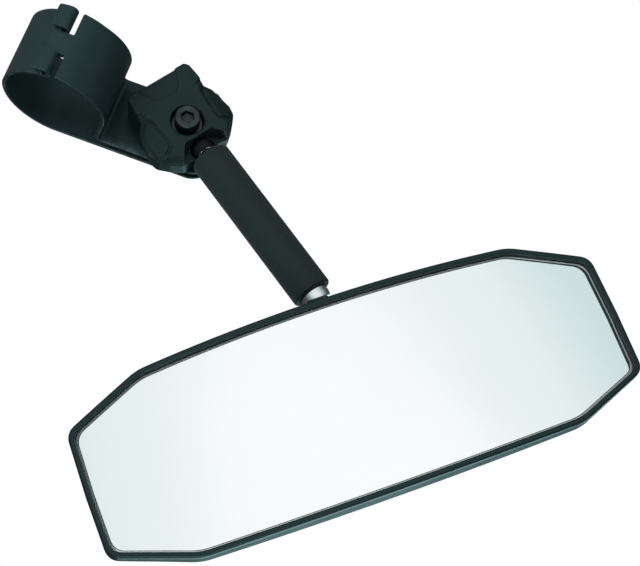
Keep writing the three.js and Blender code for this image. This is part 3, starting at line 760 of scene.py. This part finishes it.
# ---- bolt, washers and nut ----
def clamp_bolt():
    """Socket head cap screw: hexagon socket, knurled head and cut thread."""
    head, key, rod = SCREW_HEAD, KEY_HALF, BOLT_RADIUS
    top, seat, corner = SCREW_HEAD_TOP, SCREW_HEAD_SEAT, KEY_HALF * HEX_CORNER
    socket = [(0, top + 4), (key * 0.8, top + 3.5), (key, top + 3.3, corner), (key, top + 0.4, corner),
              (key + 0.35, top + 0.05, key * 1.25)]
    crown = [(4.2, top), (head - 0.9, top), (head - 0.45, top + 0.1), (head - 0.12, top + 0.4)]
    side = [(head, y) for y in (1.7, 2.2, 2.4, 4.5, 7.6, 7.8, 8.2)]
    under = [(head - 0.3, seat - 0.2), (head - 0.7, seat), (rod + 0.4, seat), (rod, seat + 0.5)]
    thread = [(rod - THREAD_DEPTH * (k % 2), THREAD_START + THREAD_STEP * k) for k in range(22)]
    point = [(rod - 0.4, BOLT_END - 0.4), (rod - 1, BOLT_END), (0, BOLT_END)]
    profile = socket + crown + side + under + [(rod, THREAD_START - 0.5)] + thread + point
    mesh = turned("bolt", profile, 192, knurl=(0.14, 2.3, 7.7))
    fit("clamp_bolt_turned", mesh, "clamp", ["clamp_bolt"], BOLT_STEEL, BOLT_PLACE, sharp=28)


def washer(node, body, span, finish):
    y0, y1 = span
    profile = rounded([(BOLT_BORE, y0), (WASHER_RADIUS, y0), (WASHER_RADIUS, y1), (BOLT_BORE, y1)],
                      [0.15, 0.3, 0.3, 0.15], 3)
    mesh = turned(node, profile, 96, closed=True)
    fit(node + "_ring", mesh, body, [node], finish, BOLT_PLACE)


def lock_nut():
    """Hexagon nut with chamfered corners, and the nylon ring in its collar."""
    bore, y, flat, corner = BOLT_BORE, NUT_Y, NUT_FLAT, NUT_CORNER
    profile = [
        (bore, y + 0.5), (bore + 0.6, y), (flat - 0.3, y), (flat, y + 0.15, flat + 0.15),
        (flat, y + 0.75, corner), (flat, y + 5.0, corner), (flat, y + 5.7, flat + 0.1),
        (flat - 0.1, y + 6.0), (flat - 0.4, y + 6.2), (bore, y + 6.2),
    ]
    mesh = turned("nut", profile, 96, closed=True)
    fit("lock_nut_body", mesh, "nut", ["lock_nut"], ZINC, BOLT_PLACE)
    low, high, wide = y + 6.4, y + 8.0, bore + 1.3
    ring = rounded([(bore, low), (wide, low), (wide, high), (bore, high)], [0.1, 0.1, 0.6, 0.3], 4)
    mesh = turned("insert", ring, 64, closed=True)
    fit("nut_insert_ring", mesh, "nut", ["nut_insert"], NYLON_BLUE, BOLT_PLACE)


# ---- clamp block ----
def block_outline(shrink=0.0):
    """Seen along the bolt; shrink draws in the nose and the wings' lower edges."""
    t, wing = BLOCK_TOP_HALF, WING_HALF
    side = [
        (t - 2, BLOCK_TOP), (t, BLOCK_TOP - 2.2), (t + 0.5, 15.5), (t + 0.3, 13.5),
        (wing - 2.4, 10), (wing, -3),
        (wing - 1.2 - shrink * 0.5, -8 + shrink * 0.3), (19 - shrink * 0.5, -12.8 + shrink * 0.8),
        (13.5 - shrink * 0.3, -17 + shrink), (7.5, -NOSE_DROP + shrink),
    ]
    side = [tuple(p) for p in rounded(side, 3.0, 4, closed=False)]
    return side + mirrored(side)


def bore_tool(radius, depth):
    """Rod along the bolt, to cut a bore with."""
    mesh = turned("bore", [(0, 0), (radius, 0), (radius, depth), (0, depth)], 64)
    mesh.transform(place_of(Vector((0, 0, 0)), X, -Z, Y))
    return mesh


def swing_room():
    """The space that the arm sweeps through below its ball."""
    cone = arc(6.2, 0, 180, 118, 10) + arc(8.0, 0, 118, 98, 4) + arc(34, 0, 98, 180, 14)
    room = turned("room", cone, 64)
    pocket = turned("pocket", arc(6.3, 0, 180, 0, 24), 64)
    for mesh in (room, pocket):
        mesh.transform(Matrix.Translation((0, BALL_Y, -BALL_DROP)))
    return [room, pocket]


def wing_slab(sign, depth, side, low, high):
    """Slab with one face lying depth behind a wing's sloping face; side is 1 for in front of it, else -1."""
    a, b = Vector((WING_FOLD, BLOCK_FRONT + depth)), Vector((WING_HALF, WING_EDGE_Y + depth))
    run = (b - a).normalized() * 20
    a, b = a - run, b + run
    across = Vector((run.y, -run.x)).normalized() * 40 * side
    corners = [a, b, b + across, a + across]
    verts = [(sign * p.x, p.y, z) for z in (low, high) for p in corners]
    faces = [[0, 1, 2, 3], [7, 6, 5, 4], [0, 1, 5, 4], [1, 2, 6, 5], [2, 3, 7, 6], [3, 0, 4, 7]]
    return new_mesh("slab", verts, faces)


def wing_pocket(sign):
    """The lozenge groove on a wing: a pocket that leaves a raised island in its middle."""
    groove = [(19.5, 14), (15.2, 10.5), (13.6, -5.5), (14.4, -8.2), (20, -11.2), (27, -9), (27, 8)]
    island = [(18.6, 10.6), (16.7, 8.8), (15.5, -4.8), (16.4, -6.9), (19.8, -8.9), (23.2, -7.2), (23.4, 5.6)]
    outer = prism("groove", [(x * sign, z) for x, z in groove], 0, BALL_Y - 0.2)
    inner = prism("island", [(x * sign, z) for x, z in rounded(island, 0.8, 3)], -1, BALL_Y + 0.8)
    floor_on = wing_slab(sign, GROOVE_DEPTH, -1, -24, 18)
    return carved("pocket", outer, [inner, floor_on], voxel=0)


def block_front():
    """Front half, with sloping grooved wings, a recess above the bolt and a scoop where the arm leaves."""
    nose = prism("nose", block_outline(), BLOCK_FRONT, BALL_Y - HALVES_GAP / 2, block_outline(1.5))
    recess = [(11.6, 32), (11.2, 26), (8.4, 20), (5.2, 16.8)]
    scoop = turned("scoop", [(0, -30), (30, -30), (9.5, 3.2), (0, 3.2)], 96)
    tilt = Matrix.Rotation(math.radians(32), 4, "X")
    scoop.transform(Matrix.Translation((0, BLOCK_FRONT - 2.5, -BALL_DROP - 0.5)) @ tilt)
    slopes = [wing_slab(sign, 0, 1, -22, 16) for sign in (1, -1)]
    pockets = [wing_pocket(sign) for sign in (1, -1)]
    cutters = [*slopes, *pockets, prism("recess", recess + mirrored(recess), 0, BLOCK_FRONT + 1.6), scoop,
               bore_tool(COUNTERBORE_RADIUS, BLOCK_FRONT + COUNTERBORE_DEPTH), bore_tool(BOLT_BORE, 30),
               *swing_room()]
    mesh = carved("block_front_body", nose, cutters, soften=9)
    fit("block_front_moulding", mesh, "block", ["block_front"], BLOCK_MOULD, BLOCK_PLACE,
        sharp=60)


def block_back():
    body = prism("back", block_outline(), BALL_Y + HALVES_GAP / 2, BLOCK_BACK)
    mesh = carved("block_back_body", body, [bore_tool(BOLT_BORE, 30), *swing_room()], soften=14)
    fit("block_back_moulding", mesh, "block", ["block_back"], BLOCK_MOULD, BLOCK_PLACE,
        sharp=60)


# ---- arm ----
def upper_stud():
    """Ball stud held between the block's halves, and the plug that joins it to the arm's tube."""
    shank_end = -24.0
    stud = arc(UPPER_BALL, 0, 0, 150, 30) + [
        (BALL_NECK, -4.7), (BALL_NECK, -9.0), (SHANK - 0.3, -9.4), (SHANK, -9.7),
        (SHANK, shank_end + 0.3), (SHANK - 0.3, shank_end), (0, shank_end)]
    mesh = turned("stud", stud, 64)
    fit("upper_stud_turned", mesh, "upper_stud", ["upper_ball_stud"], CHROME, ARM_PLACE)
    bore, side, top, bottom = SHANK + 0.3, TUBE_INNER - 0.3, -10, -26
    plug = rounded([(bore, top), (side, top), (side, bottom), (bore, bottom)], 0.4, 3)
    mesh = turned("plug", plug, 64, closed=True)
    fit("tube_plug_turned", mesh, "arm", ["tube_plug"], ZINC, ARM_PLACE)


def arm_tube():
    """Chromed tube whose rolled end keeps the lower ball in, under its soft sleeve."""
    end = -ARM_LENGTH
    lip = arc(TUBE_OUTER, end, 92, 119, 10) + arc(TUBE_INNER + 0.1, end, 121, 90, 10)
    tube = [(TUBE_INNER, TUBE_START - 0.2), (TUBE_INNER + 0.2, TUBE_START), (TUBE_OUTER - 0.2, TUBE_START),
            (TUBE_OUTER, TUBE_START - 0.2), (TUBE_OUTER, end + 1), *lip, (TUBE_INNER, end + 1.5)]
    mesh = turned("tube", tube, 96, closed=True)
    fit("arm_tube_turned", mesh, "arm", ["arm_tube"], CHROME, ARM_PLACE)
    low, top = end + SLEEVE_END_GAP, -4.4
    turn_x, turn_z = SLEEVE_OUTER - SLEEVE_SHOULDER, top - SLEEVE_SHOULDER
    shoulder = [(x + turn_x, z + turn_z) for x, z in arc(SLEEVE_SHOULDER, 0, 9, 90, 12)]
    foot = [(SLEEVE_OUTER, low + 8), (SLEEVE_OUTER, low), (SLEEVE_INNER, low), (SLEEVE_INNER, low + 8)]
    foot = [tuple(p) for p in rounded(foot, [0, 1.3, 0.7, 0], 8, closed=False)]
    mesh = turned("sleeve", [(SLEEVE_INNER, top - 0.3), *shoulder, *foot], 128, closed=True)
    fit("arm_sleeve_grip", mesh, "arm", ["arm_sleeve"], RUBBER, ARM_PLACE, sharp=60)


def liner(node, body, radius, z, open_to):
    """Thin shell round a ball, open towards its neck."""
    shell = arc(radius + LINER_THICK, z, 0, open_to, 24) + arc(radius, z, open_to, 0, 24)
    fit(node + "_shell", turned(node, shell, 64), body, [node], ACETAL, ARM_PLACE)


def lower_stud():
    """Ball stud of the head, threaded below its neck, and the nut that locks it in the bracket."""
    end = -34.0
    stud = arc(LOWER_BALL, 0, 0, 150, 30) + [
        (BALL_NECK, -4.7), (BALL_NECK, -11.0), (SHANK - 0.3, -11.3), (SHANK, -11.6)]
    stud += [(SHANK - 0.25 * (k % 2), -12.0 - 0.5 * k) for k in range(44)] + [(SHANK - 0.4, end), (0, end)]
    fit("lower_stud_turned", turned("lower", stud, 64), "lower_stud", ["lower_ball_stud"],
        CHROME, STUD_PLACE, sharp=28)
    height, flat, corner, bore = 2.4, 5.0, 5.75, SHANK + 0.3
    top = BOSS_TOP + 0.3 + height - NECK_UP
    low = top - height
    nut = [(bore, low + 0.3), (3.8, low), (flat - 0.3, low), (flat, low + 0.2, flat + 0.2),
           (flat, low + 0.5, corner), (flat, top - 0.5, corner), (flat, top - 0.2, flat + 0.2),
           (flat - 0.3, top), (3.8, top), (bore, top - 0.3)]
    mesh = turned("jam", nut, 96, closed=True)
    fit("jam_nut_body", mesh, "head", ["jam_nut"], ZINC, STUD_PLACE)


# ---- mirror head ----
def head_outline(inset, arc_steps=10, bow_steps=24):
    """Closed outline of the head drawn in by inset; every inset gives the same number of points."""
    slant = math.hypot(CORNER_RUN, CORNER_RISE)
    across, up = CORNER_RISE / slant, CORNER_RUN / slant
    end, top = HALF_LENGTH - inset, HALF_HEIGHT - inset
    reach = across * HALF_LENGTH + up * (HALF_HEIGHT - CORNER_RISE) - inset
    corner_x = (reach - up * top) / across
    corner_y = (reach - across * end) / up
    soft_x, soft_y = 4.6, 5.0
    last_x = corner_x - soft_x
    bowed = [Vector((x, top + EDGE_BOW * (1 - (x / corner_x) ** 2)))
             for x in (last_x * i / bow_steps for i in range(bow_steps + 1))]
    after = Vector((corner_x + soft_x * up, top - soft_x * across))
    quarter = bowed[:-1] + bent_corner(bowed[-1], Vector((corner_x, top)), after, arc_steps)
    before = Vector((end - soft_y * up, corner_y + soft_y * across))
    after = Vector((end + 0.3, corner_y - soft_y))
    middle = Vector((end + 0.8, 0))
    quarter += straight(quarter[-1], before, 10)
    quarter += bent_corner(before, Vector((end, corner_y)), after, arc_steps)
    quarter += straight(quarter[-1], middle, 10) + [middle]
    right = quarter + [Vector((p.x, -p.y)) for p in reversed(quarter[:-1])]
    left = [Vector((-p.x, p.y)) for p in reversed(right[1:-1])]
    return right + left


def bent_corner(a, corner, b, steps):
    ts = [i / steps for i in range(steps + 1)]
    return [a * (1 - t) ** 2 + corner * 2 * t * (1 - t) + b * t ** 2 for t in ts]


def straight(a, b, steps):
    return [a.lerp(b, i / steps) for i in range(1, steps)]


def face_z(x, z, radius):
    """Height of a surface that bends back towards the head's ends."""
    return z - x * x / (2 * radius)


def head_loft(stations, closed=True):
    """Rings round the head. A station is (inset, z, bend radius); the rings join in order."""
    verts, faces = [], []
    for inset, z, bend in stations:
        verts += [(p.x, p.y, face_z(p.x, z, bend)) for p in head_outline(inset)]
    count = len(head_outline(0))
    total = len(stations)
    for ring in range(total if closed else total - 1):
        a, b = ring * count, ((ring + 1) % total) * count
        for i in range(count):
            j = (i + 1) % count
            faces.append([a + i, a + j, b + j, b + i])
    return verts, faces, count


def panel_in(verts, faces, ring_start, station, steps=14):
    """Adds a smooth panel that closes a ring and runs in to the head's spine."""
    inset, z, bend = station
    outline = head_outline(inset)
    count = len(outline)
    last = ring_start
    for step in range(1, steps + 1):
        t = step / steps
        start = len(verts)
        for p in outline:
            x, y = p.x * (1 - 0.3 * t), p.y * (1 - t)
            verts.append((x, y, face_z(x, z, bend)))
        for i in range(count):
            j = (i + 1) % count
            faces.append([last + i, last + j, start + j, start + i])
        last = start


def bezel():
    lip, wall, under, low = BEZEL_LIP, BEZEL_WALL, SEAM - GLASS_DROP, -BEZEL_DEPTH
    section = [(lip, under), (lip, 0), (0, 0), (0, low + 0.5), (0.5, low), (wall, low), (wall, under)]
    section = rounded(section, [0.0, 0.8, 1.1, 0.2, 0.1, 0.1, 0.0], 6)
    verts, faces, _ = head_loft([(inset, z, FACE_RADIUS) for inset, z in section])
    mesh = new_mesh("bezel_ring", verts, faces)
    fit("bezel_rim", mesh, "head", ["bezel"], BEZEL_MOULD, HEAD_PLACE, sharp=50)


def mirror_glass():
    """Bent pane: silvered face, a thin dark line, a ground bevel and a square edge."""
    front, back, flat, edge = -GLASS_DROP, -GLASS_DROP - GLASS_THICK, BEZEL_LIP + GRIND_RUN, GLASS_INSET
    profile = [(flat, front), (flat - 0.15, front - 0.01), (flat - 0.3, front - 0.05),
               (BEZEL_LIP + 0.1, front - 0.6), (edge + 0.4, front - 0.9), (edge, front - 1.2),
               (edge, back + 0.3), (edge + 0.4, back)]
    stations = [(inset, z, FACE_RADIUS) for inset, z in profile]
    verts, faces, count = head_loft(stations, closed=False)
    panel_in(verts, faces, 0, stations[0])
    panel_in(verts, faces, (len(stations) - 1) * count, stations[-1])
    mesh = bpy.data.meshes.new("glass_pane")
    mesh.from_pydata(verts, [], faces)
    dark_line, ground = 2, 1
    for first, last, index in ((0, 2, dark_line), (2, 6, ground)):
        for face in mesh.polygons[first * count:last * count]:
            face.material_index = index
    outward(mesh)
    fit("mirror_glass_pane", mesh, "head", ["mirror_glass"], [GLASS, GROUND, BEZEL_MOULD],
        HEAD_PLACE, sharp=40)


def housing():
    """Shallow shell with a rounded back edge and an open front, and the pad that the bracket sits on."""
    face, back = FACE_RADIUS, BACK_RADIUS
    rim, floor_z, side = -BEZEL_DEPTH - SEAM, -RIM_DEPTH + BACK_WALL, 0.2
    outer = [(1.6, rim, face), (side + 0.3, rim, face), (side + 0.05, rim - 0.2, face),
             (side, rim - 0.5, face)]
    for k in range(9):
        a = math.radians(90 * k / 8)
        inset, z = side + BACK_CORNER * (1 - math.cos(a)), -RIM_DEPTH + BACK_CORNER * (1 - math.sin(a))
        outer.append((inset, z, back))
    verts, faces, count = head_loft(outer, closed=False)
    panel_in(verts, faces, (len(outer) - 1) * count, outer[-1])
    start = len(verts)
    inner = [(2.6, rim, face), (2.6, rim - 0.9, face), (2.8, -RIM_DEPTH + 4.5, back), (4.5, floor_z, back)]
    more, joins, _ = head_loft(inner, closed=False)
    verts += more
    faces += [[index + start for index in quad] for quad in joins]
    panel_in(verts, faces, start + (len(inner) - 1) * count, inner[-1])
    for i in range(count):
        j = (i + 1) % count
        faces.append([i, j, start + j, start + i])
    mesh = new_mesh("shell", verts, faces)
    fit("housing_shell", mesh, "head", ["housing"], HEAD_MOULD, HEAD_PLACE, sharp=50)
    pad = plate("pad", bracket_outline(2.5, 6), [], BRACKET_THICK, 0.4)
    pad.transform(Matrix.Translation((0, 0, -RIM_DEPTH + 0.2)))
    fit("housing_pad", pad, "head", [], HEAD_MOULD, HEAD_PLACE)


def bracket_outline(radius, steps):
    half, low, top = BRACKET_HALF, BRACKET_LOW, BRACKET_TOP
    return rounded([(-half, low), (half, low), (half, top), (-half, top)], radius, steps)


def bracket():
    """Plate with a boss for the lower stud, held by four button head screws."""
    places = [(x, y) for y in SCREW_YS for x in (-SCREW_X, SCREW_X)]
    holes = [circle(2.1, x, y, 32) for x, y in places]
    mesh = plate("bracket", bracket_outline(4.0, 8), holes, BRACKET_THICK, 0.35)
    mesh.transform(Matrix.Translation((0, 0, BRACKET_FACE - BRACKET_THICK / 2)))
    fit("bracket_plate", mesh, "head", ["mirror_bracket"], BRACKET_COAT, HEAD_PLACE)
    half, low, high, length = 8, NECK_BACK - 7, BRACKET_FACE - 1.0, 24
    outline = rounded([(-half, low), (half, low), (half, high), (-half, high)], [5.5, 5.5, 1.0, 1.0], 8)
    boss = plate("boss", outline, [circle(3.3, 0, NECK_BACK)], length, 0.5)
    boss.transform(place_of(Vector((0, BOSS_TOP - length / 2, 0)), X, Z, -Y))
    fit("bracket_boss", boss, "head", [], BRACKET_COAT, HEAD_PLACE)
    seat = BRACKET_FACE - BRACKET_THICK - 0.3
    profile = [(0, seat - 1.1), (1.0, seat - 1.1, 1.15), (1.0, seat - 2.0, 1.15), (1.25, seat - 2.2, 1.4),
               (2.0, seat - 2.2), (2.8, seat - 1.9), (3.3, seat - 1.3), (3.5, seat - 0.6), (3.5, seat - 0.1),
               (3.4, seat), (SCREW_SHANK, seat), (SCREW_SHANK, SCREW_END - 0.4),
               (SCREW_SHANK - 0.4, SCREW_END), (0, SCREW_END)]
    for index, (x, y) in enumerate(places, 1):
        spot = HEAD_PLACE @ Matrix.Translation((x, y, 0))
        fit(f"bracket_screw_{index}_turned", turned("screw", profile, 48), "head",
            [f"bracket_screw_{index}"], ZINC, spot)


front_strap()
rear_strap()
clamp_bolt()
washer("head_washer", "clamp", HEAD_WASHER_Y, BOLT_STEEL)
washer("nut_washer", "nut", NUT_WASHER_Y, ZINC)
lock_nut()
block_front()
block_back()
upper_stud()
arm_tube()
liner("upper_liner", "upper_socket", UPPER_BALL + 0.2, 0.0, 116)
liner("lower_liner", "lower_socket", LOWER_BALL + 0.2, -ARM_LENGTH, 118)
lower_stud()
bezel()
mirror_glass()
housing()
bracket()

# the plain solids that are kept, inside the other pieces
KEPT = {"dowel_left": ZINC, "dowel_right": ZINC, "seat_spring": ZINC, "lower_seat": ZINC,
        "glass_backing": FOAM}
for node, finish in KEPT.items():
    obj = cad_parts[node]
    obj.data.materials.clear()
    obj.data.materials.append(finish)


# ---- studio, in metres ----
def floor():
    """Round sheet of pale paper below the mirror."""
    steps = 96
    mesh = bpy.data.meshes.new("studio_floor")
    rings = [circle(radius, 0, 0, steps) for radius in (0.3, 0.7, 1.1)]
    verts = [(0, 0, 0)] + [(x, y, 0) for ring in rings for x, y in ring]
    faces = [[0, 1 + k, 1 + (k + 1) % steps] for k in range(steps)]
    for ring in range(len(rings) - 1):
        for k in range(steps):
            a, b = 1 + ring * steps + k, 1 + ring * steps + (k + 1) % steps
            faces.append([a, b, b + steps, a + steps])
    mesh.from_pydata(verts, [], faces)
    paper = Finish("studio paper")
    tone = paper.mix(paper.noise(120.0, 4.0), colour(0.84, 0.85, 0.85), colour(0.88, 0.89, 0.89))
    mesh.materials.append(paper.shader(Base_Color=tone, Roughness=0.7 + 0.1 * paper.noise(8.0)))
    obj = bpy.data.objects.new("studio_floor", mesh)
    obj.location = FLOOR_AT
    obj.visible_glossy = False
    scene.collection.objects.link(obj)


def softbox(name, where, target, size, power, tint=(1, 1, 1), glossy=True):
    """Rectangular lamp; glossy says whether polished pieces reflect it."""
    lamp = bpy.data.lights.new(name, "AREA")
    lamp.shape = "RECTANGLE"
    lamp.size, lamp.size_y = size
    lamp.energy = power
    lamp.color = tint
    obj = bpy.data.objects.new(name, lamp)
    obj.location = where
    obj.rotation_euler = (Vector(target) - Vector(where)).to_track_quat("-Z", "Y").to_euler()
    obj.visible_glossy = glossy
    scene.collection.objects.link(obj)


def studio_world():
    """White backdrop, with a broad soft light from the front that fades round the sides."""
    world = bpy.data.worlds.new("studio")
    scene.world = world
    sky = Nodes(world)
    direction = sky.node("ShaderNodeTexCoord", out="Generated")
    front = Vector((0.1, -1.0, 0.0)).normalized()
    facing = sky.node("ShaderNodeVectorMath", {"operation": "DOT_PRODUCT"}, {0: direction, 1: front},
                      out="Value")
    stops = [(0.0, colour(0.05, 0.055, 0.055)), (0.5, colour(0.08, 0.09, 0.09)),
             (0.75, colour(0.3, 0.34, 0.35)), (0.88, colour(0.65, 0.76, 0.77)),
             (0.95, colour(0.86, 0.91, 0.91)), (0.98, colour(1.0, 1.0, 1.0))]
    shade = sky.ramp(0.5 + 0.5 * facing, stops, "EASE")
    glossy_ray = sky.node("ShaderNodeLightPath", out="Is Glossy Ray")
    camera_ray = sky.node("ShaderNodeLightPath", out="Is Camera Ray")
    for_matt = 0.38
    strength = for_matt + (1 - for_matt) * glossy_ray
    light = sky.node("ShaderNodeBackground", None, {"Color": shade, "Strength": strength})
    backdrop = sky.node("ShaderNodeBackground", None, {"Color": colour(1, 1, 1)})
    both = sky.node("ShaderNodeMixShader", None, {0: camera_ray, 1: light, 2: backdrop})
    sky.node("ShaderNodeOutputWorld", None, {"Surface": both})


def camera():
    """Long lens, rolled so that the bar slants and the head lies along the frame."""
    lens = bpy.data.cameras.new("camera")
    lens.lens = 90.0
    lens.sensor_width = 36.0
    lens.clip_start, lens.clip_end = 0.01, 50.0
    eye = bpy.data.objects.new("camera", lens)
    eye.location = EYE_AT
    aim = (LOOK_AT - EYE_AT).to_track_quat("-Z", "Y")
    eye.rotation_euler = (aim @ Quaternion(Z, EYE_ROLL)).to_euler()
    scene.collection.objects.link(eye)
    scene.camera = eye


floor()
studio_world()
softbox("overhead", (0, 0, 1.7), (0, 0, 0), (1.8, 1.8), 20.0, glossy=False)
softbox("low_key", (-1.25, -0.25, -0.4), (-0.08, 0, -0.15), (1.0, 1.0), 9.0, (0.8, 0.98, 1.0))
softbox("back_glow", (-0.1, 1.5, -0.6), (-0.08, 0, -0.2), (1.4, 0.9), 7.0, (0.6, 0.97, 1.0))
softbox("front_key", (-0.1, -1.05, 0.85), (0, 0, -0.05), (0.5, 0.5), 16.0, glossy=False)
camera()
scene.view_settings.view_transform = "Standard"
scene.view_settings.look = "None"
